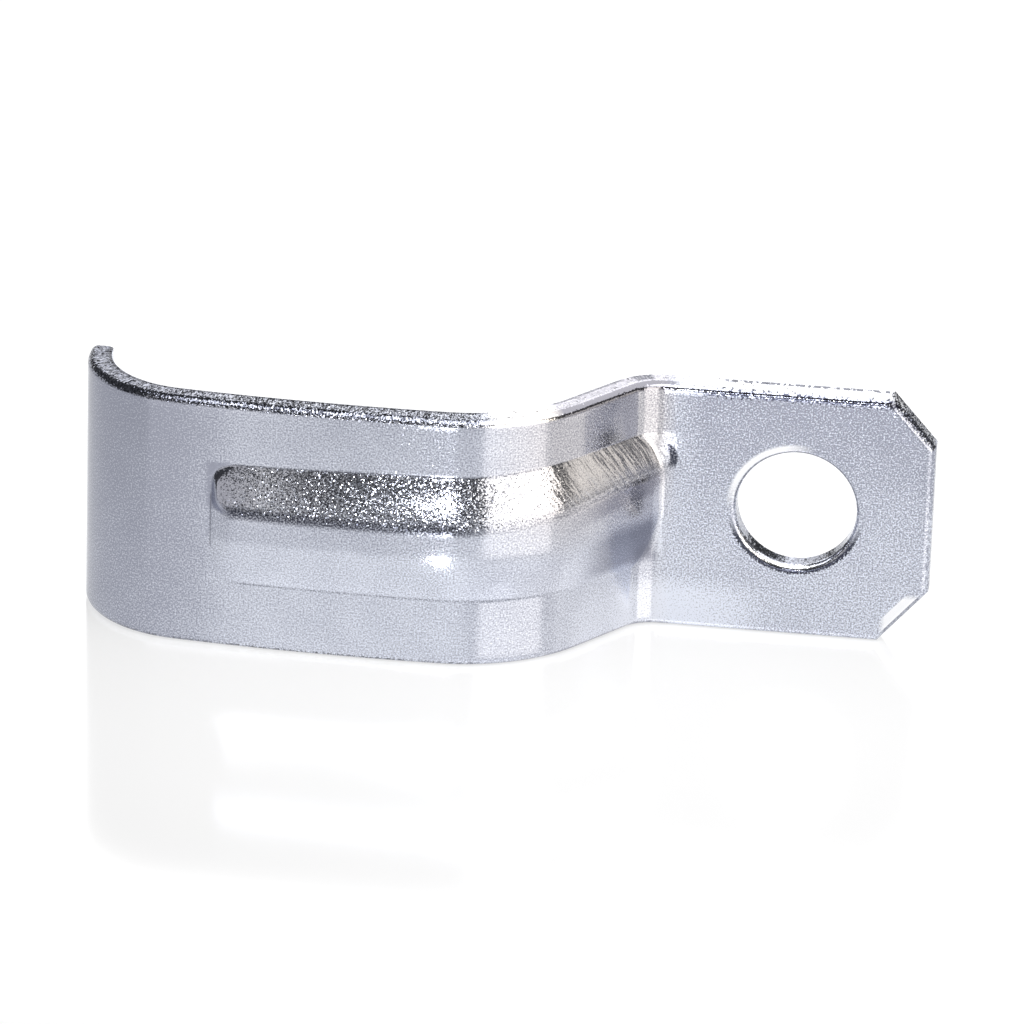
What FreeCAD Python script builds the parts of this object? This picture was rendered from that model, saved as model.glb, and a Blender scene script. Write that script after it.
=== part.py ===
"""One-hole conduit strap: a single stamped and folded strip of zinc-plated steel.

The strip starts as a flat screw tab, kinks up a short ramp, runs over a shallow crown and
turns back towards the wall in a hook.  A raised rib stiffens the crown and the ramp.

Frame, in millimetres: the origin is the screw hole's axis at the wall plane.  The wall is
the plane Y = 0 and the strap lies on its -Y side.  +X runs from the hook towards the tab's
free end, and Z runs across the strip, along the conduit.
"""
import FreeCAD, Part
import math
import os

from FreeCAD import Vector

# --- Strip ---------------------------------------------------------------------------
strip_thickness = 1.5
upper_edge_from_axis = 7.8        # screw axis to the strip's upper long edge
lower_edge_from_axis = 8.4        # screw axis to the strip's lower long edge
edge_roll_radius = 0.5            # rounding that the shears leave on the outer side

# --- Screw tab -----------------------------------------------------------------------
hole_diameter = 7.5
hole_rim_radius = 0.35
hole_to_free_end = 8.45
hole_to_bend = 8.3                # screw axis to the start of the bend
upper_chamfer_run = 2.75          # along the strip
upper_chamfer_rise = 3.05         # across the strip
lower_chamfer_run = 3.05
lower_chamfer_rise = 3.5

# --- Hook, with its radii on the outer surface -----------------------------------------
seat_depth = 9.2                  # wall plane to the crown's inner face
hole_to_hook_face = 44.25         # screw axis to the hook's outer end face
bend_radius = 2.2
ramp_angle = 55.0
shoulder_radius = 10.3
crown_radius = 125.0
crown_lead_angle = 1.7            # slope of the crown where the shoulder meets it
corner_radius = 7.35
tip_clearance = 2.3               # wall plane to the hook's end

# --- Rib -----------------------------------------------------------------------------
rib_height = 0.9
rib_width = 8.1
rib_crest_width = 1.5
rib_toe_flank = 0.95              # length of the slope at the hook end
rib_heel_flank = 2.2              # length of the slope that runs out into the bend
rib_to_corner = 2.4               # end of the rib to the start of the corner
rib_overrun = 0.15                # how far the rib's heel passes the start of the bend
rib_crest_rounding = 0.3          # half the width of the rounded fold beside the crest
rib_corner_power = 2.4            # 2 makes the corners elliptical in plan, more is squarer

# --- Resolution of the rib's curved faces ------------------------------------------------
fine_step = 0.25
side_step = 0.35
coarse_step = 0.9
patch_margin = 0.25               # reach past the rib's outline, as a share of each flank

tolerance = 1e-6


def strip_segments():
    """Side view of the outer surface, from the tab's free end to the hook's end.

    Each segment is (name, length, turn), where turn is the angle in radians that the
    heading swings towards the outer side.
    """
    ramp = math.radians(ramp_angle)
    lead = math.radians(crown_lead_angle)
    climb = (seat_depth
             - bend_radius * (1 - math.cos(ramp))
             - shoulder_radius * (math.cos(lead) - math.cos(ramp))
             - crown_radius * (1 - math.cos(lead)))
    ramp_length = climb / math.sin(ramp)
    crown_reach = (hole_to_hook_face - hole_to_bend
                   - bend_radius * math.sin(ramp)
                   - ramp_length * math.cos(ramp)
                   - shoulder_radius * (math.sin(ramp) - math.sin(lead))
                   - crown_radius * math.sin(lead)
                   - corner_radius)
    tail = math.asin(crown_reach / (crown_radius - corner_radius))
    corner_drop = (seat_depth + strip_thickness - tip_clearance
                   - crown_radius * (1 - math.cos(tail)))
    quarter_drop = corner_radius * math.cos(tail)
    leg_length = max(0.0, corner_drop - quarter_drop)
    corner_end = math.acos(math.cos(tail) - min(corner_drop, quarter_drop) / corner_radius)
    segments = [
        ("tab", hole_to_free_end + hole_to_bend, 0.0),
        ("bend", bend_radius * ramp, ramp),
        ("ramp", ramp_length, 0.0),
        ("shoulder", shoulder_radius * (ramp - lead), lead - ramp),
        ("crown", crown_radius * (lead + tail), -lead - tail),
        ("corner", corner_radius * (corner_end - tail), tail - corner_end),
        ("leg", leg_length, 0.0),
    ]
    return [segment for segment in segments if segment[1] > tolerance]


segments = strip_segments()


def start_of(wanted):
    """Distance along the outer surface at which the named segment starts."""
    distance = 0.0
    for name, length, _turn in segments:
        if name == wanted:
            return distance
        distance += length
    raise ValueError(wanted)


def surface_point(distance, offset=0.0, height=0.0):
    """Point at a distance along the outer surface, moved outwards by offset, at Z = height."""
    x = hole_to_free_end
    y = -strip_thickness
    heading = 0.0                 # 0 points along -X, and a right angle along -Y
    for name, length, turn in segments:
        step = min(distance, length)
        if turn:
            radius = length / turn
            swing = step / radius
            x -= radius * (math.sin(heading + swing) - math.sin(heading))
            y -= radius * (math.cos(heading) - math.cos(heading + swing))
            heading += swing
        else:
            x -= step * math.cos(heading)
            y -= step * math.sin(heading)
        distance -= step
        if distance <= 0:
            break
    return Vector(x + offset * math.sin(heading), y - offset * math.cos(heading), height)


def profile_edges(offset):
    """Lines and arcs of the side view, at an offset from the outer surface."""
    edges = []
    start = 0.0
    for _name, length, turn in segments:
        first = surface_point(start, offset)
        last = surface_point(start + length, offset)
        if turn:
            middle = surface_point(start + length / 2, offset)
            edges.append(Part.Arc(first, middle, last).toShape())
        else:
            edges.append(Part.LineSegment(first, last).toShape())
        start += length
    return edges


def folded_strip():
    """The strip as folded, with square edges and no hole."""
    outer = profile_edges(0.0)
    inner = profile_edges(-strip_thickness)
    ends = [
        Part.makeLine(outer[0].Vertexes[0].Point, inner[0].Vertexes[0].Point),
        Part.makeLine(outer[-1].Vertexes[-1].Point, inner[-1].Vertexes[-1].Point),
    ]
    outline = Part.Wire(Part.__sortEdges__(outer + inner + ends))
    outline.translate(Vector(0, 0, -lower_edge_from_axis))
    return Part.Face(outline).extrude(Vector(0, 0, upper_edge_from_axis + lower_edge_from_axis))


def screw_hole():
    """Cutter for the screw hole."""
    start = Vector(0, strip_thickness, 0)
    return Part.makeCylinder(hole_diameter / 2, 3 * strip_thickness, start, Vector(0, -1, 0))


def corner_cutter(edge_height, run, rise):
    """Wedge that cuts a chamfer off the tab; rise is negative at the lower corner."""
    near = -2 * strip_thickness
    slope = rise / run
    corners = [
        Vector(hole_to_free_end - 2 * run, near, edge_height + rise),
        Vector(hole_to_free_end + run, near, edge_height + rise),
        Vector(hole_to_free_end + run, near, edge_height - rise - slope * run),
    ]
    outline = Part.makePolygon(corners + corners[:1])
    return Part.Face(outline).extrude(Vector(0, 3 * strip_thickness, 0))


def outer_edges(strip):
    """Sheared edges on the outer side, sorted into the hole's rim and the strip's outline."""
    outer_wire = Part.Wire(profile_edges(0.0))
    rim = []
    outline = []
    for edge in strip.Edges:
        ends = [Part.Vertex(Vector(v.X, v.Y, 0)) for v in edge.Vertexes]
        if any(outer_wire.distToShape(end)[0] > tolerance for end in ends):
            continue
        box = edge.BoundBox
        runs_across = box.XLength < tolerance and box.YLength < tolerance
        if isinstance(edge.Curve, Part.Circle) and abs(edge.Curve.Axis.y) > 0.5:
            rim.append(edge)
        elif not runs_across or abs(box.XMin - hole_to_free_end) < tolerance:
            outline.append(edge)
    return rim, outline


def plain_strip():
    """The folded strip with its hole, chamfers and rolled edges, before the rib."""
    strip = folded_strip().cut(screw_hole())
    strip = strip.cut(corner_cutter(upper_edge_from_axis, upper_chamfer_run, upper_chamfer_rise))
    strip = strip.cut(corner_cutter(-lower_edge_from_axis, lower_chamfer_run, -lower_chamfer_rise))
    strip = strip.makeFillet(edge_roll_radius, outer_edges(strip)[1])
    return strip.makeFillet(hole_rim_radius, outer_edges(strip)[0])


def soft_clip(value, rounding):
    """value where it is positive and 0 where it is negative, with a rounded turn between."""
    if value <= -rounding:
        return 0.0
    if value >= rounding:
        return value
    return (value + rounding) ** 2 / (4 * rounding)


rib_heel = start_of("bend") - rib_overrun
rib_toe = start_of("corner") - rib_to_corner
rib_side_flank = (rib_width - rib_crest_width) / 2


def rib_rise(distance, height):
    """Height of the rib above the plain strip, and below zero outside the rib's outline."""
    if distance < (rib_heel + rib_toe) / 2:
        end_flank = rib_heel_flank
        from_end = distance - rib_heel
    else:
        end_flank = rib_toe_flank
        from_end = rib_toe - distance
    from_side = rib_width / 2 - abs(height)
    end_fall = soft_clip(1 - from_end / end_flank, rib_crest_rounding / end_flank)
    side_fall = soft_clip(1 - from_side / rib_side_flank, rib_crest_rounding / rib_side_flank)
    power = rib_corner_power
    return rib_height * (1 - (end_fall ** power + side_fall ** power) ** (1 / power))


def spaced(start, end, step):
    """Evenly spaced values from start up to but not including end, about step apart."""
    count = math.ceil((end - start) / step)
    return [start + (end - start) * i / count for i in range(count)]


def offset_patch(top_offset, bottom_offset):
    """Solid over the rib's outline, between two offsets from the plain outer surface."""
    heel_crest = rib_heel + 1.3 * rib_heel_flank
    toe_crest = rib_toe - 2 * rib_toe_flank
    first = rib_heel - patch_margin * rib_heel_flank
    last = rib_toe + patch_margin * rib_toe_flank
    half_width = rib_width / 2 + patch_margin * rib_side_flank
    distances = (spaced(first, heel_crest, fine_step)
                 + spaced(heel_crest, toe_crest, coarse_step)
                 + spaced(toe_crest, last, fine_step) + [last])
    heights = spaced(-half_width, half_width, side_step) + [half_width]
    faces = []
    borders = []
    for offset in (top_offset, bottom_offset):
        surface = Part.BSplineSurface()
        surface.interpolate([[surface_point(d, offset(d, z), z) for z in heights] for d in distances])
        u_first, u_last, v_first, v_last = surface.bounds()
        faces.append(surface.toShape())
        borders.append([surface.uIso(u_first), surface.uIso(u_last),
                        surface.vIso(v_first), surface.vIso(v_last)])
    for top_border, bottom_border in zip(*borders):
        faces.append(Part.makeRuledSurface(top_border.toShape(), bottom_border.toShape()))
    shell = Part.Shell(faces)
    shell.sewShape()
    return Part.makeSolid(shell)


def strap():
    """The whole strap: the plain strip with its rib raised and the rib's groove pressed in."""
    ridge = offset_patch(rib_rise, lambda d, z: -0.9 * strip_thickness)
    groove = offset_patch(lambda d, z: rib_rise(d, z) - strip_thickness,
                          lambda d, z: -strip_thickness - 1.2 * rib_height)
    return plain_strip().fuse(ridge).cut(groove)


os.makedirs("parts", exist_ok=True)
strap().exportStep("parts/strap.step")
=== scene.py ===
"""Looks of the conduit strap: its zinc-plated surface, sheared edges, camera and studio.

The strap's mesh follows the same construction as the CAD solid: a flat blank with a hole,
folded along a side view of lines and arcs, with a rib raised out of it.  Lengths in the
shape functions and in the strap's material are in millimetres, and the mesh is scaled to
metres as it is made.  Lengths along the strip run from the tab's free end to the hook's tip,
and lengths across it are heights above the hole's axis.
"""
import math

import bmesh
import bpy
import numpy as np
from mathutils import Matrix, Vector


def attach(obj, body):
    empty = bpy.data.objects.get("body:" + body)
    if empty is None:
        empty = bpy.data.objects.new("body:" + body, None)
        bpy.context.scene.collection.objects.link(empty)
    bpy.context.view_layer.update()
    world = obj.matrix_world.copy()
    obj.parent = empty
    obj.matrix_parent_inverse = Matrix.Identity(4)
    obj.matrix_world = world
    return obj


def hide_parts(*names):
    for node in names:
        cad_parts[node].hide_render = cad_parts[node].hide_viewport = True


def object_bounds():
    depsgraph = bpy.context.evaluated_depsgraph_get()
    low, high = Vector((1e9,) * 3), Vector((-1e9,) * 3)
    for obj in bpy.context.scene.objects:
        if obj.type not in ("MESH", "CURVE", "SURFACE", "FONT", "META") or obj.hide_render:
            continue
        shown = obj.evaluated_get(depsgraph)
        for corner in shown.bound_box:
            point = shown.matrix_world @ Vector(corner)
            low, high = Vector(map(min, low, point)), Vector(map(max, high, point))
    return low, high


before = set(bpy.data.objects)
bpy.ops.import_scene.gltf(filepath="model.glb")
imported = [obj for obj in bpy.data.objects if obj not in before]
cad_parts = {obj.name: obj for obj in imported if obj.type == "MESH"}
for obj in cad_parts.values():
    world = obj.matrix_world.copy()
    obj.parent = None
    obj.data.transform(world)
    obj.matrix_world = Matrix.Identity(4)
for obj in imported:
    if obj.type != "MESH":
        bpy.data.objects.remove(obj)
cad_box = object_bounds()

MM = 0.001

# --- Strip, as in the CAD -----------------------------------------------------------------
THICKNESS = 1.5
UPPER_EDGE = 7.8
LOWER_EDGE = -8.4
EDGE_ROLL = 0.5
HOLE_RADIUS = 3.75
HOLE_TO_FREE_END = 8.45
HOLE_TO_BEND = 8.3
UPPER_CHAMFER = (2.75, 3.05)      # along the strip, across the strip
LOWER_CHAMFER = (3.05, 3.5)

SEAT_DEPTH = 9.2
HOLE_TO_HOOK_FACE = 44.25
BEND_RADIUS = 2.2
RAMP_ANGLE = math.radians(55.0)
SHOULDER_RADIUS = 10.3
CROWN_RADIUS = 125.0
CROWN_LEAD = math.radians(1.7)
CORNER_RADIUS = 7.35
TIP_CLEARANCE = 2.3

RIB_HEIGHT = 0.9
RIB_WIDTH = 8.1
RIB_CREST_WIDTH = 1.5
RIB_TOE_FLANK = 1.4
RIB_TO_CORNER = 2.4
RIB_CREST_ROUNDING = 0.3
RIB_CORNER_POWER = 4.0
RIB_SIDE_POWER = 1.35
RIB_TOE_CORNER = 1.5

# --- Fine shape that only the looks have ----------------------------------------------------
# The rib's fold lines move across the strip: where along it they start and end, and how far.
UPPER_FOOT_FLARE = ((25.5, 32.5), 0.35)
UPPER_FOOT_TAPER = ((33.0, 47.0), 0.3)
UPPER_CREST = 0.5                 # the upper flank's crest line on the crown
UPPER_CREST_FLARE = ((18.5, 33.5), 1.25)
LOWER_FOOT_FLARE = ((19.0, 28.0), 0.2)
RIB_SIDE_EASE = 0.1               # rounding where the crest turns into the flanks
TOE_STEEPER = ((0.4, 1.6), 0.75)  # heights over which the toe's slope gets shorter, and by how much
RIB_FOOT_ROUNDING = 0.05
HEEL_FOOT_ROUNDING = ((17.2, 18.6), 0.22)
PAST_BEND = 0.3                   # radians by which the rib's run-out may swing past the bend
HEEL_BULGE = 0.08                 # metal pushed up into the tab beside the rib's upper heel
HEEL_BULGE_CENTRE = (16.55, 2.75)
HEEL_BULGE_REACH = (0.62, 1.15)
RIM_ROLL = (0.36, 0.35)           # die roll around the hole: across the face, into the metal
TIP_ROUNDING = 0.5                # inner corner of the hook's end
TIP_LENGTH = 2.0                  # length over which that corner's setback fades


def strip_segments():
    """Side view of the outer surface as (name, length, turn), from the tab's free end."""
    climb = (SEAT_DEPTH
             - BEND_RADIUS * (1 - math.cos(RAMP_ANGLE))
             - SHOULDER_RADIUS * (math.cos(CROWN_LEAD) - math.cos(RAMP_ANGLE))
             - CROWN_RADIUS * (1 - math.cos(CROWN_LEAD)))
    ramp_length = climb / math.sin(RAMP_ANGLE)
    crown_reach = (HOLE_TO_HOOK_FACE - HOLE_TO_BEND
                   - BEND_RADIUS * math.sin(RAMP_ANGLE)
                   - ramp_length * math.cos(RAMP_ANGLE)
                   - SHOULDER_RADIUS * (math.sin(RAMP_ANGLE) - math.sin(CROWN_LEAD))
                   - CROWN_RADIUS * math.sin(CROWN_LEAD)
                   - CORNER_RADIUS)
    tail = math.asin(crown_reach / (CROWN_RADIUS - CORNER_RADIUS))
    corner_drop = (SEAT_DEPTH + THICKNESS - TIP_CLEARANCE
                   - CROWN_RADIUS * (1 - math.cos(tail)))
    quarter_drop = CORNER_RADIUS * math.cos(tail)
    leg_length = corner_drop - quarter_drop
    return [
        ("tab", HOLE_TO_FREE_END + HOLE_TO_BEND, 0.0),
        ("bend", BEND_RADIUS * RAMP_ANGLE, RAMP_ANGLE),
        ("ramp", ramp_length, 0.0),
        ("shoulder", SHOULDER_RADIUS * (RAMP_ANGLE - CROWN_LEAD), CROWN_LEAD - RAMP_ANGLE),
        ("crown", CROWN_RADIUS * (CROWN_LEAD + tail), -CROWN_LEAD - tail),
        ("corner", CORNER_RADIUS * (math.pi / 2 - tail), tail - math.pi / 2),
        ("leg", leg_length, 0.0),
    ]


SEGMENTS = strip_segments()
STRIP_LENGTH = sum(length for _name, length, _turn in SEGMENTS)


def start_of(wanted):
    """Distance along the outer surface at which the named segment starts."""
    distance = 0.0
    for name, length, _turn in SEGMENTS:
        if name == wanted:
            return distance
        distance += length
    raise ValueError(wanted)


def side_view(distance):
    """x, y and heading of the outer surface at distances along the strip."""
    left = np.array(distance, float)
    x = np.full_like(left, HOLE_TO_FREE_END)
    y = np.full_like(left, -THICKNESS)
    heading = np.zeros_like(left)
    for _name, length, turn in SEGMENTS:
        step = np.clip(left, 0.0, length)
        if turn:
            radius = length / turn
            swing = step / radius
            x -= radius * (np.sin(heading + swing) - np.sin(heading))
            y -= radius * (np.cos(heading) - np.cos(heading + swing))
            heading = heading + swing
        else:
            x -= step * np.cos(heading)
            y -= step * np.sin(heading)
        left = left - step
    return x, y, heading


def soft_clip(value, rounding):
    """value where it is positive and 0 where it is negative, with a rounded turn between."""
    middle = (value + rounding) ** 2 / (4 * rounding)
    return np.where(value <= -rounding, 0.0, np.where(value >= rounding, value, middle))


def eased(value, low, high):
    """0 below low, 1 above high, and a smooth step between."""
    share = np.clip((value - low) / (high - low), 0.0, 1.0)
    return share * share * (3 - 2 * share)


def begun(value, change):
    """How far a ((low, high), amount) change has grown at value."""
    (low, high), amount = change
    return amount * eased(value, low, high)


def left_of(value, change):
    """How much of a ((low, high), amount) change is still to come at value."""
    (low, high), amount = change
    return amount * (1 - eased(value, low, high))


RIB_TOE = start_of("corner") - RIB_TO_CORNER
RAMP_START = start_of("ramp")


def corner_recess(inside):
    """How far the rib's toe stands back at its rounded corners, inside its long foot lines."""
    short = np.clip(RIB_TOE_CORNER - inside, 0.0, RIB_TOE_CORNER)
    return RIB_TOE_CORNER - np.sqrt(RIB_TOE_CORNER ** 2 - short ** 2)


def rib_profile(distance, height):
    """Height of the rib at full length, before it runs out into the tab."""
    upper_foot = (RIB_WIDTH / 2 + left_of(distance, UPPER_FOOT_FLARE)
                  - begun(distance, UPPER_FOOT_TAPER))
    upper_crest = UPPER_CREST + left_of(distance, UPPER_CREST_FLARE)
    lower_foot = -RIB_WIDTH / 2 - left_of(distance, LOWER_FOOT_FLARE)
    lower_crest = -RIB_CREST_WIDTH / 2
    above = (height - upper_crest) / (upper_foot - upper_crest)
    below = (lower_crest - height) / (lower_crest - lower_foot)
    side_fall = soft_clip(np.maximum(above, below), RIB_SIDE_EASE) ** RIB_SIDE_POWER
    toe = RIB_TOE - corner_recess(upper_foot - height) - corner_recess(height - lower_foot)
    flank = RIB_TOE_FLANK - begun(height, TOE_STEEPER)
    end_fall = soft_clip(1 - (toe - distance) / flank, RIB_CREST_ROUNDING / RIB_TOE_FLANK)
    power = RIB_CORNER_POWER
    fall = (end_fall ** power + side_fall ** power) ** (1 / power)
    return RIB_HEIGHT * (1 - fall)


def rib_rise(distance, height):
    """Height of the rib above the plain strip, with the metal that its heel has pushed up."""
    full = rib_profile(distance, height)
    swing = np.clip((RAMP_START - distance) / BEND_RADIUS, 0.0, RAMP_ANGLE + PAST_BEND)
    straight_on = BEND_RADIUS - (BEND_RADIUS - full) / np.cos(swing)
    rise = np.where(distance < RAMP_START, straight_on, full)
    rounding = RIB_FOOT_ROUNDING + left_of(distance, HEEL_FOOT_ROUNDING)
    return soft_clip(rise, rounding) + heel_bulge(distance, height)


def heel_bulge(distance, height):
    """Height of the soft bulge in the tab beside the rib's upper heel."""
    along = (distance - HEEL_BULGE_CENTRE[0]) / HEEL_BULGE_REACH[0]
    across = (height - HEEL_BULGE_CENTRE[1]) / HEEL_BULGE_REACH[1]
    return HEEL_BULGE * np.exp(-(along ** 2 + across ** 2))


def tip_setback(distance, depth):
    """How far the hook's end stands back at its rounded inner corner."""
    into_corner = np.clip(depth - (THICKNESS - TIP_ROUNDING), 0.0, TIP_ROUNDING)
    setback = TIP_ROUNDING - np.sqrt(TIP_ROUNDING ** 2 - into_corner ** 2)
    return setback * np.clip(1 - (STRIP_LENGTH - distance) / TIP_LENGTH, 0.0, 1.0)


def place(distance, height, depth):
    """Points at distances along the strip, heights across it and depths into the metal."""
    distance, height, depth = np.broadcast_arrays(
        np.asarray(distance, float), np.asarray(height, float), np.asarray(depth, float))
    x, y, heading = side_view(distance - tip_setback(distance, depth))
    offset = rib_rise(distance, height) - depth
    points = np.stack([x + offset * np.sin(heading), y - offset * np.cos(heading), height], -1)
    return points, np.stack([distance, height, depth], -1)


# --- Blank ----------------------------------------------------------------------------------
def spaced(start, end, step):
    """Evenly spaced values from start up to but not including end, about step apart."""
    count = max(1, math.ceil(abs(end - start) / step - 1e-9))
    return [start + (end - start) * i / count for i in range(count)]


def graded(stops, last):
    """Values from each stop to the next at that stop's own spacing, ending with last."""
    values = []
    for (start, step), (end, _step) in zip(stops, stops[1:] + [(last, None)]):
        values += spaced(start, end, step)
    return values + [last]


# The mesh's lines, close together where the rib folds: (from here on, spacing).
PLATE_END = HOLE_TO_FREE_END + HOLE_TO_BEND - 2.0
HOLE_CENTRE = HOLE_TO_FREE_END
COLUMNS = np.array(graded([
    (PLATE_END, 0.12), (start_of("ramp") + 0.4, 0.2), (start_of("shoulder"), 0.28),
    (start_of("crown"), 0.5), (RIB_TOE - 2.0, 0.1), (RIB_TOE + 0.4, 0.28)], STRIP_LENGTH))
ROWS = np.array(graded([
    (LOWER_EDGE + EDGE_ROLL, 0.35), (-4.6, 0.1), (-3.7, 0.25), (-1.3, 0.12), (-0.3, 0.2),
    (0.2, 0.14), (2.2, 0.2), (3.5, 0.1), (4.6, 0.35)], UPPER_EDGE - EDGE_ROLL))
OUTLINE_STEP = 0.25
ROLL_STEPS = 8
EDGE_DEPTHS = [0.7, 0.9, 1.0, 1.1, 1.2, 1.3, 1.4, 1.45, THICKNESS]
WALL_DEPTHS = [0.6, 0.8, 1.0, 1.2, 1.35, THICKNESS]
PLATE_SHARES = [0.0, 0.012, 0.03, 0.055, 0.09] + list(np.linspace(0.14, 1.0, 16))
WELD_DISTANCE = 2e-7              # metres
SHARP_ANGLE = math.radians(50)


def stretched_rows(inset):
    """The grid's rows, spread to reach an inset from the strip's long edges."""
    first, last = ROWS[0], ROWS[-1]
    low, high = LOWER_EDGE + inset, UPPER_EDGE - inset
    return low + (ROWS - first) * (high - low) / (last - first)


def tab_corners(inset):
    """Corners of the tab's outline, moved inwards, from the joint's top round to its bottom."""
    run, rise = UPPER_CHAMFER
    low_run, low_rise = LOWER_CHAMFER
    sharp = [(PLATE_END, UPPER_EDGE), (run, UPPER_EDGE), (0.0, UPPER_EDGE - rise),
             (0.0, LOWER_EDGE + low_rise), (low_run, LOWER_EDGE), (PLATE_END, LOWER_EDGE)]
    lines = []
    for (x0, z0), (x1, z1) in zip(sharp, sharp[1:]):
        length = math.hypot(x1 - x0, z1 - z0)
        across = (-(z1 - z0) / length, (x1 - x0) / length)
        lines.append((across, across[0] * x0 + across[1] * z0 + inset))
    joint = ((1.0, 0.0), PLATE_END)
    lines = [joint] + lines + [joint]
    corners = []
    for ((a, b), e), ((c, d), f) in zip(lines, lines[1:]):
        determinant = a * d - b * c
        corners.append(((e * d - b * f) / determinant, (a * f - e * c) / determinant))
    return corners


def tab_outline(inset):
    """Points along the tab's outline, from the joint's top round to its bottom."""
    counts = [math.ceil(math.dist(a, b) / OUTLINE_STEP)
              for a, b in zip(tab_corners(0), tab_corners(0)[1:])]
    corners = np.array(tab_corners(inset))
    points = []
    for start, end, count in zip(corners, corners[1:], counts):
        points += [start + (end - start) * i / count for i in range(count)]
    return np.array(points + [corners[-1]])


def whole_outline(inset):
    """Points along the blank's outline from the hook's upper corner round to its lower one."""
    tab = tab_outline(inset)
    upper = np.stack([COLUMNS[:0:-1], np.full(len(COLUMNS) - 1, UPPER_EDGE - inset)], -1)
    lower = np.stack([COLUMNS[1:], np.full(len(COLUMNS) - 1, LOWER_EDGE + inset)], -1)
    return np.concatenate([upper, tab, lower])


def plate_loop(inset):
    """Closed loop round the tab's flat plate, joint included."""
    rows = stretched_rows(inset)[1:-1]
    joint = np.stack([np.full(len(rows), PLATE_END), rows], -1)
    return np.concatenate([tab_outline(inset), joint])


def hole_loop(radius):
    """Points round the hole, one in line with each point of the plate's loop."""
    away = plate_loop(0.0) - np.array([HOLE_CENTRE, 0.0])
    away /= np.linalg.norm(away, axis=1, keepdims=True)
    return np.array([HOLE_CENTRE, 0.0]) + radius * away


def edge_levels(roll, below):
    """(inset, depth) pairs from the outer face, round the elliptic roll, to the inner face."""
    across, into = roll
    turns = np.linspace(0.0, math.pi / 2, ROLL_STEPS + 1)
    rolled = [(across * (1 - math.sin(turn)), into * (1 - math.cos(turn))) for turn in turns]
    return rolled + [(0.0, depth) for depth in below]


def plate_sheet(inset, rim_inset, depth):
    """Rings of the flat plate between the hole's rim and the outline."""
    inner = hole_loop(HOLE_RADIUS + rim_inset)
    outer = plate_loop(inset)
    rings = [inner + (outer - inner) * share for share in PLATE_SHARES]
    return [place(ring[:, 0], ring[:, 1], depth) for ring in rings]


def strip_sheet(inset, depth):
    """Grid of the folded strip beyond the plate."""
    rows = stretched_rows(inset)
    return [place(column, rows, depth) for column in COLUMNS]


def add_grid(mesh, layer, lines, closed=False):
    """Adds faces between successive lines of points."""
    previous = None
    for points, strip in lines:
        current = []
        for point, coordinates in zip(points, strip):
            vert = mesh.verts.new(point * MM)
            vert[layer] = coordinates
            current.append(vert)
        if previous:
            count = len(current) if closed else len(current) - 1
            for i in range(count):
                j = (i + 1) % len(current)
                mesh.faces.new((previous[i], previous[j], current[j], current[i]))
        previous = current


def strap_mesh():
    """The strap's visible mesh; its strip attribute holds the lengths along, across and deep."""
    mesh = bmesh.new()
    layer = mesh.verts.layers.float_vector.new("strip")
    outline = edge_levels((EDGE_ROLL, EDGE_ROLL), EDGE_DEPTHS)
    rim = edge_levels(RIM_ROLL, WALL_DEPTHS)
    add_grid(mesh, layer, strip_sheet(EDGE_ROLL, 0.0))
    add_grid(mesh, layer, strip_sheet(0.0, THICKNESS))
    add_grid(mesh, layer, plate_sheet(EDGE_ROLL, RIM_ROLL[0], 0.0), closed=True)
    add_grid(mesh, layer, plate_sheet(0.0, 0.0, THICKNESS), closed=True)
    add_grid(mesh, layer, [place(*whole_outline(inset).T, depth) for inset, depth in outline])
    add_grid(mesh, layer, [place(*hole_loop(HOLE_RADIUS + inset).T, depth)
                           for inset, depth in rim], closed=True)
    add_grid(mesh, layer, [place(STRIP_LENGTH, stretched_rows(inset), depth)
                           for inset, depth in outline])
    bmesh.ops.remove_doubles(mesh, verts=mesh.verts, dist=WELD_DISTANCE)
    bmesh.ops.recalc_face_normals(mesh, faces=mesh.faces)
    for face in mesh.faces:
        face.smooth = True
    data = bpy.data.meshes.new("strap_surface")
    mesh.to_mesh(data)
    mesh.free()
    data.set_sharp_from_angle(angle=SHARP_ANGLE)
    return data


# --- Camera ---------------------------------------------------------------------------
LENS = 260.2                      # millimetres
SENSOR = 36.0
DISTANCE = 0.4627                 # metres
TARGET = Vector((-0.01788, 0.0, -0.00216))
AZIMUTH = math.radians(6.826)
ELEVATION = math.radians(22.0)
ROLL = math.radians(1.832)
CLIP = (0.01, 20.0)


def make_camera():
    ahead = Vector((-math.sin(AZIMUTH) * math.cos(ELEVATION),
                    math.cos(AZIMUTH) * math.cos(ELEVATION),
                    -math.sin(ELEVATION)))
    right = Vector((math.cos(AZIMUTH), math.sin(AZIMUTH), 0.0))
    up = right.cross(ahead)
    rolled_right = right * math.cos(ROLL) + up * math.sin(ROLL)
    rolled_up = up * math.cos(ROLL) - right * math.sin(ROLL)
    place_at = TARGET - ahead * DISTANCE
    data = bpy.data.cameras.new("camera")
    data.lens = LENS
    data.sensor_width = SENSOR
    data.clip_start, data.clip_end = CLIP
    camera = add_object("camera", data)
    camera.matrix_world = Matrix((
        (rolled_right.x, rolled_up.x, -ahead.x, place_at.x),
        (rolled_right.y, rolled_up.y, -ahead.y, place_at.y),
        (rolled_right.z, rolled_up.z, -ahead.z, place_at.z),
        (0, 0, 0, 1)))
    bpy.context.scene.camera = camera


def add_object(name, data):
    thing = bpy.data.objects.new(name, data)
    bpy.context.scene.collection.objects.link(thing)
    return thing


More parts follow.
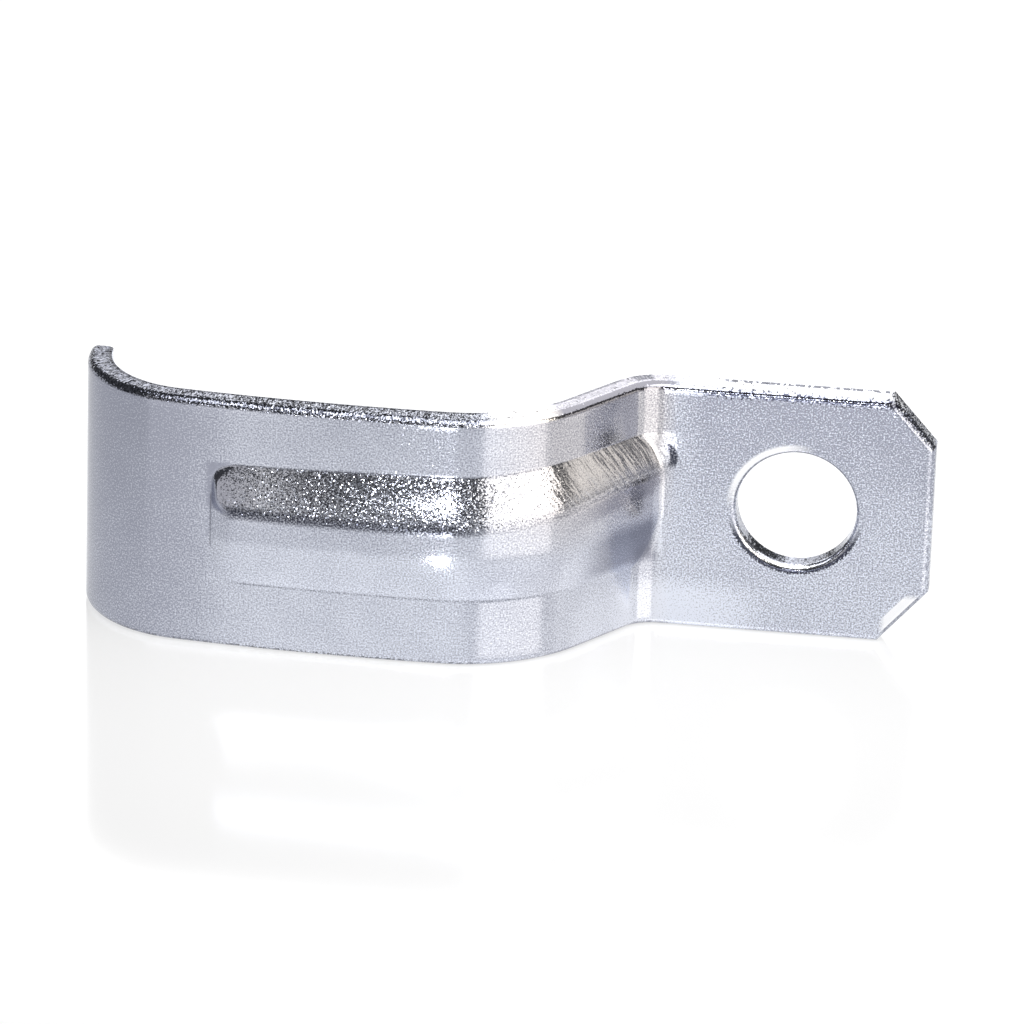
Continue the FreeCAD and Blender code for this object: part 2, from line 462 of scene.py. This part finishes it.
# --- Materials ------------------------------------------------------------------------------
class Nodes:
    """Short calls for building a material's node tree."""

    def __init__(self, name):
        self.material = bpy.data.materials.new(name)
        self.material.use_nodes = True
        self.tree = self.material.node_tree
        self.tree.nodes.clear()
        self.output = self.tree.nodes.new("ShaderNodeOutputMaterial")

    def add(self, kind, inputs=None, **settings):
        node = self.tree.nodes.new(kind)
        for key, value in settings.items():
            setattr(node, key, value)
        for key, value in (inputs or {}).items():
            self.join(value, node.inputs[key])
        return node

    def join(self, value, socket):
        """Links an output to a socket, or sets the socket to a plain value."""
        if isinstance(value, bpy.types.NodeSocket):
            self.tree.links.new(value, socket)
        else:
            socket.default_value = value

    def finish(self, inputs):
        """Gives the material its surface and returns it."""
        shader = self.add("ShaderNodeBsdfPrincipled", inputs)
        self.tree.links.new(shader.outputs[0], self.output.inputs[0])
        return self.material

    def math(self, operation, *values):
        """The values taken together one after another."""
        result = values[0]
        for value in values[1:]:
            node = self.add("ShaderNodeMath", {0: result, 1: value}, operation=operation)
            result = node.outputs[0]
        return result

    def total(self, *values):
        return self.math("ADD", *values)

    def minus(self, first, second):
        return self.math("SUBTRACT", first, second)

    def product(self, *values):
        return self.math("MULTIPLY", *values)

    def highest(self, *values):
        return self.math("MAXIMUM", *values)

    def vector(self, operation, first, second=None, scale=None):
        inputs = {0: first}
        if second is not None:
            inputs[1] = second
        if scale is not None:
            inputs["Scale"] = scale
        return self.add("ShaderNodeVectorMath", inputs, operation=operation).outputs[0]

    def measure(self, operation, first, second=(0.0, 0.0, 0.0)):
        """A length or a dot product."""
        node = self.add("ShaderNodeVectorMath", {0: first, 1: second}, operation=operation)
        return node.outputs["Value"]

    def point(self, x, y, z=0.0):
        return self.add("ShaderNodeCombineXYZ", {"X": x, "Y": y, "Z": z}).outputs[0]

    def noise(self, vector, scale, detail=2.0, roughness=0.5):
        node = self.add("ShaderNodeTexNoise", {
            "Vector": vector, "Scale": scale, "Detail": detail, "Roughness": roughness})
        return node.outputs[0]

    def span(self, value, low, high, to_low=0.0, to_high=1.0, smooth=False):
        """to_low at low, to_high at high, a straight or smooth change between them."""
        node = self.add("ShaderNodeMapRange", {
            "Value": value, "From Min": low, "From Max": high, "To Min": to_low, "To Max": to_high})
        node.interpolation_type = "SMOOTHSTEP" if smooth else "LINEAR"
        return node.outputs[0]

    def line(self, value, centre, half_width, flat=0.0):
        """1 on a line, falling to 0 at half_width from it; flat is the share that stays at 1."""
        away = self.math("ABSOLUTE", self.minus(value, centre), 0.0)
        return self.span(away, half_width, half_width * flat, smooth=True)

    def patch(self, value, where):
        """A line where there is a (centre, half width, flat), a span where there is a pair."""
        return self.line(value, *where) if len(where) == 3 else self.span(value, *where)

    def between(self, value, rise, fall):
        """1 from the end of the rise to the start of the fall, both of them spans."""
        return self.product(self.span(value, *rise), self.span(value, *fall))

    def mix(self, factor, first, second, blend="MIX"):
        node = self.add("ShaderNodeMix", data_type="RGBA", blend_type=blend)
        for key, value in {0: factor, 6: first, 7: second}.items():
            self.join(value, node.inputs[key])
        return node.outputs[2]


# The plating's tone runs between these two: its own grain, and painted shade and painted
# highlights.
ZINC_DARK_AND_SHADED = (0.34, 0.355, 0.43, 1)
ZINC_PALE_AND_LIT = (0.79, 0.825, 0.92, 1)
# Colour of the painted highlights.
PAINTED_HIGHLIGHT = (0.97, 0.975, 1.0, 1)
# Colour of broken metal, and of the painted shade.
BROKEN_METAL_AND_SHADE = (0.035, 0.038, 0.06, 1)
WARM_REFLECTION_TINT = (1.05, 0.985, 0.91, 1)

SPECK_SCALE = 9.5                 # per millimetre, as the other scales on the grain
FACET_SCALE = 16.0
PIT_SCALE = 8.5
JAGGED_SHADE_SCALE = 6.0
FRACTURE_SCALE = 3.5
CLOUD_SCALE = 450.0               # per metre
EDGE_GRAIN = 0.4                  # draws a sheared edge's grain out through the thickness
BRUSHING_DEPTH = 0.65e-4          # metres

FACET_POWER = 3.0                 # the higher, the fewer facets lean far
LEAST_LEAN = 0.2
PITTED_LEAN = 0.45                # every facet of a pitted edge leans at least this far

SMOOTHEST, ROUGHEST = 0.07, 0.16
STRETCHED_ROUGHNESS = 0.1         # added where the metal was stretched

LOWER_RIM_SHADE_RADIUS = 4.11                # rings around the hole
RIM_HIGHLIGHT_RADIUS = 4.08
ROLL_HIGHLIGHT_RADIUS = 3.88
RING_RADIUS = 3.86
WALL_RADII = (3.82, 3.78)
HOOKWARDS = (0.64, 0.77, 0.0)     # sides of the hole: along the strip, across it
UNDERNEATH = (0.35, -0.94, 0.0)

BROKEN_BACK = 0.95                # how dark marks are, 1 being the full dark colour of broken metal and painted shade
PIT = 0.92
BOTTOM_SHADE = 0.6
WALL_SHADE = 0.6
RING_LINE = 0.6
TOE_SHADE = 0.5
CHAMFER_BORDER = 0.45
RAMP_BLUE_SHADE = 0.3
EDGE_HIGHLIGHT = 0.75                    # how bright the painted highlights on the top edges are

# Lengths along the strip between which a look comes in, or goes where they run backwards.
ONTO_TAB = (16.0, 14.0)
TAB_GRAIN = (18.0, 15.0)
TAB_FRACTURE = (14.0, 13.0)
TAB_JAGGED_SHADE = (15.6, 14.0)
TAB_EDGE_HIGHLIGHT = (16.4, 15.6)
BACK_RISE = (14.0, 20.0)          # the broken band is deeper on the tab than beyond it
BEFORE_HEEL = (16.85, 16.5)
ONTO_RAMP = (16.0, 17.0)
RAMP_FOOT = (16.8, 17.4)
RAMP_EDGE = ((16.0, 16.6), (26.5, 25.0))
RAMP_CREST_END = (25.5, 22.5)
RAMP_SHADE_END = (24.5, 21.0)
OFF_RAMP = (27.5, 24.0)
WARM_END = (31.0, 26.0)
SHOULDER_EDGE_HIGHLIGHT = ((25.2, 26.2), (30.6, 29.8))
CREASE_START = (24.0, 28.0)
PALE_FLANK = (22.5, 27.0)
FLANK_FACETS = (25.0, 28.0)
CROWN_FACETS = (29.5, 32.0)
CROWN_PITS = (30.2, 31.2)
CROWN_FRACTURE = (30.0, 31.0)
FOLD_DARKENS = (30.0, 32.5)
EDGE_PITS_DARKEN = (31.0, 41.0)
DARKER_CREST = (31.0, 36.0)
FLANK_PITS = (31.5, 33.5)
FLANK_PITS_END = (46.0, 41.0)
FLANK_END_FACETS = (46.8, 44.0)
FLANK_END_DARKENS = (44.0, 46.5)
INTO_HOOK = (43.5, 48.0)
HOOK_PAINTED_SHADE = (44.5, 51.0)
RIB_END = (48.0, 47.4)
CREASE_END = (RIB_TOE - 1.2, RIB_TOE - 1.8)
FOLD_END = (RIB_TOE - 0.7, RIB_TOE - 1.5)

# Heights across the strip between which a look comes in.
TOP_EDGE = (7.0, 7.2)
TOP_EDGE_HIGHLIGHT = (6.9, 7.2)
UPPER_TAB = (-2.0, 7.0)
WARM_HALF = (-1.5, 1.5)
RAMP_SHADE = ((-4.4, -3.4), (-0.4, -1.6))
UPPER_ROLL = (UPPER_EDGE - 0.48, UPPER_EDGE - 0.38)
LOWER_BORDER = (LOWER_EDGE + 0.14, LOWER_EDGE + 0.02)

# Places along and across the strip: a span, or a (centre, half width, flat share).
UPPER_CORNER = ((2.9, 2.7), (4.5, 4.7))
LOWER_CORNER = ((3.0, 2.6), (-5.0, -5.4))
TOE_MARK = ((RIB_TOE, 0.10, 0.0), (0.0, 1.9, 0.8))
HEEL_CRESCENT = (17.1, 2.85)      # its centre, and then its radius, half width and flat share
CRESCENT_RING = (0.95, 0.3, 0.5)
CRESCENT_BOTTOM = (2.1, 2.5)

# Patches of painted highlight and painted shade: how much, and where along and across the strip.
TONE_PATCHES = [
    (1.1, (15.5, 6.0, 0.2), (-7.2, 2.6, 0.3)),        # painted glow low on the tab and the bend
    (-0.3, (28.5, 3.5, 0.7), (0.0, -2.0)),            # painted shade on the lower half of the shoulder
    (0.35, (21.0, 4.0, 0.5), (-4.5, -6.0)),           # painted light on the border under the rib on the ramp
    (0.9, (17.1, 0.5, 0.5), (-1.2, 2.6, 0.8)),        # painted highlight line across the rib's heel
    (-0.45, (17.9, 1.0, 0.5), (-2.0, -3.5)),          # painted shade on the lower half of the bend
]


class Zinc(Nodes):
    """Zinc plating whose marks are placed by the strip's own coordinates, in millimetres."""

    def __init__(self):
        super().__init__("zinc_plating")
        strip = self.add("ShaderNodeAttribute", attribute_name="strip").outputs["Vector"]
        self.along, self.across, self.depth = self.add("ShaderNodeSeparateXYZ", {0: strip}).outputs
        self.grain = self.point(self.along, self.across, self.product(self.depth, EDGE_GRAIN))
        self.speck = self.noise(self.grain, SPECK_SCALE, 1.0)
        self.find_faces()
        self.find_rib()

    def find_faces(self):
        """Shares of all but the inner face, of the sheared edges and of the outer face."""
        self.outer = self.span(self.depth, THICKNESS - 0.01, THICKNESS - 0.04)
        rolled = self.span(self.across, *UPPER_ROLL)
        deep = self.span(self.depth, 0.0, 0.1, smooth=True)
        self.edge = self.product(self.highest(deep, rolled), self.outer)
        self.face = self.minus(self.outer, self.edge)
        self.pitted = self.product(
            self.edge,
            self.highest(self.span(self.along, *CROWN_PITS), self.area(*UPPER_CORNER)),
            self.span(self.along, *INTO_HOOK, 1.0, 0.72))
        self.top_edge = self.span(self.across, *TOP_EDGE)

    def area(self, along_at, across_at):
        """A patch of the strip, placed along it and across it."""
        return self.product(self.patch(self.along, along_at), self.patch(self.across, across_at))

    def fold_line(self, on_crown, flare, way=1):
        """Height of one of the rib's fold lines, as rib_profile has it before any taper."""
        window, amount = flare
        return self.span(self.along, *window, on_crown + way * amount, on_crown, smooth=True)

    def find_rib(self):
        """The rib's fold lines, and the shares of its upper flank and stretched metal."""
        window, taper = UPPER_FOOT_TAPER
        self.upper_foot = self.total(self.fold_line(RIB_WIDTH / 2, UPPER_FOOT_FLARE),
                                     self.span(self.along, *window, 0.0, -taper, smooth=True))
        self.crest = self.fold_line(UPPER_CREST, UPPER_CREST_FLARE)
        self.lower_foot = self.fold_line(-RIB_WIDTH / 2, LOWER_FOOT_FLARE, -1)
        onto_ramp = self.span(self.along, *ONTO_RAMP, smooth=True)
        self.on_rib = self.product(onto_ramp, self.span(self.along, *RIB_END, smooth=True))
        self.flank = self.product(
            self.span(self.minus(self.across, self.crest), 0.1, 0.5, smooth=True),
            self.span(self.minus(self.upper_foot, self.across), -0.15, 0.1, smooth=True),
            self.on_rib, self.face)
        on_ramp = self.product(onto_ramp, self.span(self.along, *OFF_RAMP, smooth=True))
        self.stretched = self.product(self.flank, on_ramp)
        # Where painted shade darkens the ramp's lower flank.
        self.ramp_shade = self.product(
            self.span(self.along, *RAMP_FOOT),
            self.span(self.along, *RAMP_SHADE_END, smooth=True),
            *(self.span(self.across, *side, smooth=True) for side in RAMP_SHADE))

    def speckled(self, mark, low, high, strong, faint):
        """The mark broken up by the specks: strong where they are low and faint where high."""
        return self.product(mark, self.span(self.speck, low, high, strong, faint))

    def facets(self):
        """Normal of the plating's facets, each of which leans its own way, most only a little."""
        cells = self.add("ShaderNodeTexVoronoi", {"Vector": self.grain, "Scale": FACET_SCALE})
        lean = self.vector("SUBTRACT", cells.outputs["Color"], (0.5, 0.5, 0.5))
        size = self.math("POWER", self.measure("LENGTH", lean), FACET_POWER)
        flank_lean = self.product(self.span(self.along, *FLANK_END_FACETS, 0.45, 1.15),
                                  self.span(self.along, *FLANK_FACETS, 0.2, 1.0))
        crown_lean = self.product(self.span(self.along, *CROWN_FACETS, 0.8, 2.4),
                                  self.span(self.along, *INTO_HOOK, 1.0, 0.85))
        edge_lean = self.highest(crown_lean, self.span(self.along, *ONTO_TAB, 0.0, 0.6))
        amount = self.total(self.product(self.flank, flank_lean),
                            self.product(self.edge, edge_lean))
        amount = self.product(self.highest(amount, LEAST_LEAN), size)
        amount = self.highest(amount, self.product(self.pitted, PITTED_LEAN))
        lean = self.vector("SCALE", lean, scale=amount)
        normal = self.add("ShaderNodeNewGeometry").outputs["Normal"]
        return self.vector("NORMALIZE", self.vector("ADD", normal, lean))

    def brushed(self, normal):
        """The normal, with slanting streaks in the metal stretched over the ramp."""
        slant = self.minus(self.product(self.along, 1.5), self.product(self.across, 0.9))
        stretch = self.point(slant, self.product(self.across, 0.45))
        relief = self.product(self.noise(stretch, 1.0, 2.0, 0.6), self.stretched)
        return self.add("ShaderNodeBump", {
            "Height": relief, "Distance": BRUSHING_DEPTH, "Strength": 1.0,
            "Normal": normal}).outputs[0]

    def tone(self):
        """How pale the plating is, from -1 to 1: random grain and clouds, and the outer face's
        patches of painted highlight and painted shade.
        """
        along, across = self.along, self.across
        where = self.add("ShaderNodeTexCoord").outputs["Object"]
        plain = self.total(
            self.product(self.span(self.speck, 0.3, 0.7, -0.95, 0.95),
                         self.span(along, *TAB_GRAIN, 1.0, 1.5)),
            self.span(self.noise(where, CLOUD_SCALE, 3.0), 0.3, 0.7, -0.12, 0.12))
        patches = [self.product(self.area(*where), amount) for amount, *where in TONE_PATCHES]
        on_tab = self.span(along, *ONTO_TAB)
        crest_line = self.line(across, self.minus(self.crest, 0.5), 0.9, 0.3)
        marked = self.total(
            plain, *patches,
            # Painted light: paler downwards; painted shade on the tab and its upper half, and round
            # the hook.
            self.span(across, UPPER_EDGE, LOWER_EDGE, -0.22, 0.28),
            self.product(on_tab, -0.14),
            self.product(on_tab, self.span(across, *UPPER_TAB, 0.0, -0.6)),
            self.span(along, *HOOK_PAINTED_SHADE, 0.0, -0.88, smooth=True),
            # Over the ramp: painted shade on the lower flank, crest and top edge, and a painted
            # highlight on the upper flank.
            self.product(self.ramp_shade, -1.0),
            self.product(self.between(along, RAMP_FOOT, RAMP_CREST_END), crest_line, -0.9),
            self.product(self.edge, self.between(along, *RAMP_EDGE), -1.6),
            self.product(self.stretched, 0.7),
            # On the crown: a painted highlight on the rib's lower flank, a darker crest and a
            # darker end to the upper flank.
            self.product(self.line(across, -2.5, 1.9, 0.7), self.on_rib, self.face,
                         self.span(along, *PALE_FLANK, 0.0, 0.2)),
            self.product(self.area(DARKER_CREST, (-0.2, 1.1, 0.6)), self.on_rib, -0.22),
            self.product(self.flank, self.span(along, *FLANK_END_DARKENS, 0.0, -1.1)))
        return self.span(self.outer, 0.0, 1.0, plain, marked)

    def rib_marks(self):
        """Painted shade: dark lines along the rib's folds, at its toe and in a crescent beside its
        heel, and over the ramp.
        """
        along, across = self.along, self.across
        upper = self.speckled(self.line(across, self.upper_foot, 0.13), 0.4, 0.6, 0.75, 0.4)
        lower = self.speckled(self.line(across, self.lower_foot, 0.12), 0.45, 0.6, 0.5, 0.15)
        # Painted shade along the rib's foot lines.
        crease_shade = self.product(
            self.highest(upper, lower), self.between(along, CREASE_START, CREASE_END),
            self.on_rib, self.face)
        # Painted shade along the upper flank's fold above the crest.
        fold = self.speckled(self.line(across, self.total(self.crest, 0.4), 0.55, 0.3),
                             0.42, 0.62, 1.0, 0.5)
        fold = self.product(fold, self.span(along, *FOLD_END), self.on_rib,
                            self.span(along, *FOLD_DARKENS, 0.4, 0.95))
        toe = self.product(self.area(*TOE_MARK), TOE_SHADE)
        centre_along, centre_across = HEEL_CRESCENT
        from_heel = self.measure("LENGTH", self.point(self.minus(along, centre_along),
                                                      self.minus(across, centre_across)))
        # Painted shade on the heel bulge's far side.
        heel_shade = self.product(self.line(from_heel, *CRESCENT_RING),
                                self.area(BEFORE_HEEL, CRESCENT_BOTTOM))
        heel_shade = self.speckled(heel_shade, 0.46, 0.64, 1.0, 0.6)
        return [crease_shade, fold, toe, heel_shade, self.product(self.ramp_shade, RAMP_BLUE_SHADE)]

    def sheared_marks(self):
        """Dark marks of the shears, the pits of broken grain along the crown, and painted shade: a
        jagged line on the tab's top roll and a line along the bottom edge.
        """
        along, across, depth = self.along, self.across, self.depth
        patchy = self.span(self.noise(self.grain, FRACTURE_SCALE, 2.0, 0.6), 0.44, 0.5)
        fracture = self.product(
            self.span(depth, self.span(along, *BACK_RISE, 1.0, 1.22),
                      self.span(along, *BACK_RISE, 1.1, 1.32)),
            self.highest(self.span(along, *CROWN_FRACTURE),
                         self.product(patchy, self.span(along, *TAB_FRACTURE))))
        ramp_back = self.product(self.line(along, 22.0, 3.6, 0.8),
                                 self.span(depth, 1.2, 1.3, 0.0, 0.7))
        broken = self.product(self.highest(fracture, ramp_back), self.top_edge, BROKEN_BACK)
        burr = self.product(self.line(along, 17.85, 0.55, 0.6), self.span(depth, 0.6, 0.8),
                            self.top_edge)
        ragged = self.noise(self.grain, JAGGED_SHADE_SCALE, 2.0, 0.6)
        wavy = self.total(across, self.span(ragged, 0.3, 0.7, -0.3, 0.3))
        # Painted shade: a jagged dark line along the tab's top roll.
        jagged_shade = self.product(
            self.line(wavy, UPPER_EDGE - 0.42, 0.19, 0.5),
            self.span(along, *TAB_JAGGED_SHADE, 0.0, 0.95), self.span(depth, 0.35, 0.2))
        pits = self.span(self.noise(self.grain, PIT_SCALE, 1.0), 0.52, 0.47, 0.0, PIT)
        edge_pits = self.product(pits, self.span(along, *EDGE_PITS_DARKEN, 0.72, 1.0), self.pitted)
        flank_pits = self.product(pits, self.flank, self.span(along, *FLANK_PITS, 0.0, 0.55),
                                  self.span(along, *FLANK_PITS_END))
        # Painted shade along the bottom edge, where it meets the floor.
        bottom_shade = self.span(across, *LOWER_BORDER, 0.0, BOTTOM_SHADE)
        return [broken, self.speckled(burr, 0.48, 0.62, 1.0, 0.5), jagged_shade, edge_pits,
                flank_pits, bottom_shade]

    def hole_marks(self):
        """Marks of the hole: painted shade along its lower rim and on its lower wall, a dark ring
        above, and painted highlights on its rim towards the hook and on the roll underneath.
        """
        across, depth = self.across, self.depth
        from_hole = self.point(self.minus(self.along, HOLE_CENTRE), across)
        radius = self.measure("LENGTH", from_hole)
        side = self.vector("NORMALIZE", from_hole)
        ragged = self.total(radius, self.span(self.speck, 0.3, 0.7, -0.09, 0.09))
        # Painted shade: a ragged dark band along the lower rim.
        lower_rim_shade = self.product(self.line(ragged, LOWER_RIM_SHADE_RADIUS, 0.17, 0.6),
                            self.span(across, -0.6, -2.0))
        ring = self.product(self.line(radius, RING_RADIUS, 0.08),
                            self.span(across, -0.4, 0.6, 0.0, RING_LINE))
        # Painted shade on the hole's lower wall.
        wall = self.product(self.span(radius, *WALL_RADII), self.span(depth, 0.36, 0.42),
                            self.span(across, -1.5, -3.2, 0.0, WALL_SHADE))
        hookwards = self.measure("DOT_PRODUCT", side, HOOKWARDS)
        # Painted highlight on the rim towards the hook.
        rim = self.product(self.line(radius, RIM_HIGHLIGHT_RADIUS, 0.36, 0.35),
                           self.span(hookwards, 0.55, 0.95, smooth=True), self.face)
        underneath = self.measure("DOT_PRODUCT", side, UNDERNEATH)
        # Painted highlight on the roll underneath.
        roll = self.product(self.line(radius, ROLL_HIGHLIGHT_RADIUS, 0.14, 0.7),
                            self.span(depth, 0.35, 0.3), self.span(underneath, 0.7, 0.85))
        return [self.speckled(lower_rim_shade, 0.5, 0.7, 1.0, 0.7), ring, wall], [rim, roll]

    def chamfer_marks(self):
        """The lower chamfer's darker border, and a painted highlight on its roll."""
        run, rise = LOWER_CHAMFER
        share = self.total(self.product(self.along, 1 / run),
                           self.product(self.minus(self.across, LOWER_EDGE), 1 / rise))
        inward = self.product(self.minus(share, 1.0), run * rise / math.hypot(run, rise))
        at_corner = self.area(*LOWER_CORNER)
        border = self.product(self.line(inward, 0.12, 0.18, 0.8), at_corner, CHAMFER_BORDER)
        # The roll's line is a painted highlight.
        return [border], [self.product(self.line(inward, 0.58, 0.36, 0.7), at_corner)]

    def edge_highlights(self):
        """Painted highlights on the top edge of the tab and of the shoulder."""
        tab = self.product(self.span(self.depth, 0.12, 0.22), self.span(self.along, *TAB_EDGE_HIGHLIGHT))
        shoulder = self.product(self.edge, self.between(self.along, *SHOULDER_EDGE_HIGHLIGHT))
        return self.product(self.highest(tab, shoulder), self.span(self.across, *TOP_EDGE_HIGHLIGHT),
                            EDGE_HIGHLIGHT)


def zinc_material():
    """Bright zinc plating: bluish grey metal whose fine facets glint on the stretched parts."""
    n = Zinc()
    hole_dark, hole_highlights = n.hole_marks()
    chamfer_dark, chamfer_highlight = n.chamfer_marks()
    # Dark: broken metal and pits, with painted shade.
    dark = n.product(n.highest(*n.rib_marks(), *n.sheared_marks(), *hole_dark, *chamfer_dark),
                     n.outer)
    # Painted highlights: round the hole, on the chamfer's roll and on the top edges.
    bright = n.product(n.highest(*hole_highlights, *chamfer_highlight, n.edge_highlights()),
                       n.minus(n.outer, dark))
    # Painted reflection: the warm light's tint, laid on the ramp and shoulder.
    warm_reflection = n.product(n.between(n.along, ONTO_RAMP, WARM_END),
                     n.span(n.across, *WARM_HALF, 0.25, 1.0))
    # Tone: the plating's grain, with painted highlights and painted shade on its outer face.
    colour = n.mix(n.span(n.tone(), -1.0, 1.0), ZINC_DARK_AND_SHADED, ZINC_PALE_AND_LIT)
    colour = n.mix(bright, colour, PAINTED_HIGHLIGHT)
    colour = n.mix(warm_reflection, colour, WARM_REFLECTION_TINT, blend="MULTIPLY")
    colour = n.mix(dark, colour, BROKEN_METAL_AND_SHADE)
    roughness = n.total(n.span(n.speck, 0.38, 0.62, SMOOTHEST, ROUGHEST),
                        n.product(n.stretched, STRETCHED_ROUGHNESS))
    return n.finish({"Base Color": colour, "Metallic": 1.0, "Roughness": roughness,
                     "Normal": n.brushed(n.facets())})


FLOOR_LIT = (0.93, 0.93, 0.93, 1)      # what lights the strap from below
FLOOR_SEEN = (0.30, 0.30, 0.30, 1)     # what shows the strap's shadow, under the glow
FLOOR_GLOW = (0.68, 0.90)              # near the strap and far behind it, 1 being white
FLOOR_BEHIND = (0.040, 0.085)          # metres behind the wall plane
FLOOR_ROUGHNESS = 0.12
FLOOR_REACH = 3.0                      # metres


def floor_material():
    """Pale glossy floor that the camera and the metal see as nearly white, with its shadow."""
    n = Nodes("pale_floor")
    path = n.add("ShaderNodeLightPath")
    seen = n.highest(*(path.outputs[ray] for ray in (
        "Is Camera Ray", "Is Glossy Ray", "Is Transmission Ray")))
    where = n.add("ShaderNodeTexCoord").outputs["Object"]
    behind = n.add("ShaderNodeSeparateXYZ", {0: where}).outputs["Y"]
    glow = n.product(seen, n.span(behind, *FLOOR_BEHIND, *FLOOR_GLOW, smooth=True))
    return n.finish({
        "Base Color": n.mix(seen, FLOOR_LIT, FLOOR_SEEN), "Roughness": FLOOR_ROUGHNESS,
        "Specular IOR Level": 1.0, "Emission Color": (1, 1, 1, 1), "Emission Strength": glow})


def make_strap():
    strap = add_object("strap_surface", strap_mesh())
    strap.data.materials.append(zinc_material())
    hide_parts("strap")
    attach(strap, "root")


# --- Studio ---------------------------------------------------------------------------------
WHITE = (1.0, 1.0, 1.0)
WARM = (1.0, 0.95, 0.86)
SOFT_WARM = (1.0, 0.96, 0.90)
WORLD_COLOUR = (0.97, 0.98, 1.0, 1)
WORLD_STRENGTH = 0.09
ALL_ROUND = math.pi
NARROW = math.radians(24.0)

# Softboxes in metres: name, place, what it faces, size, radiance, colour and spread.
SOFTBOXES = [
    # The wide window at the front right, its narrow strip and the paler left side.
    ("window_light", (0.130, -0.150, 0.045), (-0.016, -0.010, 0.005), (0.170, 0.120),
     2.5, WARM, ALL_ROUND),
    ("strip_light", (-0.022, -0.310, 0.050), (-0.021, -0.010, 0.002), (0.038, 0.030),
     25.0, WHITE, ALL_ROUND),
    ("left_light", (-0.180, -0.250, 0.050), (-0.030, -0.010, 0.002), (0.180, 0.080),
     0.95, SOFT_WARM, ALL_ROUND),
    ("side_light", (0.250, 0.020, 0.040), (-0.010, -0.003, 0.0), (0.120, 0.060),
     1.0, WARM, ALL_ROUND),
    # The floor in front of the strap, and the small spot under the rib.
    ("foot_light", (-0.018, -0.022, 0.034), (-0.018, -0.022, 0.0), (0.060, 0.024),
     2.8, WHITE, ALL_ROUND),
    ("spot_light", (-0.0211, -0.0186, -0.00646), (-0.0207, -0.0115, -0.0010), (0.0011, 0.0022),
     2.4, WHITE, NARROW),
    # Overhead and behind, for the sheared top edge.
    ("roof_light", (0.021, 0.038, 0.060), (0.021, 0.038, 0.0), (0.090, 0.220),
     1.25, WHITE, ALL_ROUND),
    ("edge_light", (-0.0315, 0.130, 0.060), (-0.0315, 0.130, 0.0), (0.006, 0.050),
     1.6, WHITE, ALL_ROUND),
    ("back_light", (-0.050, 0.150, 0.060), (-0.030, 0.0, 0.008), (0.120, 0.070),
     1.5, WHITE, ALL_ROUND),
]


def make_floor():
    height = cad_box[0][2]
    corners = [(-1, -1), (1, -1), (1, 1), (-1, 1)]
    data = bpy.data.meshes.new("floor")
    data.from_pydata([(x * FLOOR_REACH, y * FLOOR_REACH, height) for x, y in corners],
                     [], [(0, 1, 2, 3)])
    data.materials.append(floor_material())
    floor = add_object("floor", data)


def make_softbox(name, place_at, look_at, size, radiance, colour, spread):
    """Rectangular softbox; radiance is how bright its face looks, 1 being white."""
    data = bpy.data.lights.new(name, "AREA")
    data.shape = "RECTANGLE"
    data.size, data.size_y = size
    data.energy = radiance * math.pi * size[0] * size[1]
    data.color = colour
    data.spread = spread
    light = add_object(name, data)
    light.location = place_at
    direction = Vector(look_at) - Vector(place_at)
    light.rotation_euler = direction.to_track_quat("-Z", "Y").to_euler()
    light.visible_camera = False


def make_studio():
    make_floor()
    world = bpy.data.worlds.new("studio")
    bpy.context.scene.world = world
    world.use_nodes = True
    background = world.node_tree.nodes["Background"]
    background.inputs["Color"].default_value = WORLD_COLOUR
    background.inputs["Strength"].default_value = WORLD_STRENGTH
    for softbox in SOFTBOXES:
        make_softbox(*softbox)


make_camera()
make_strap()
make_studio()
bpy.context.scene.view_settings.view_transform = "Standard"
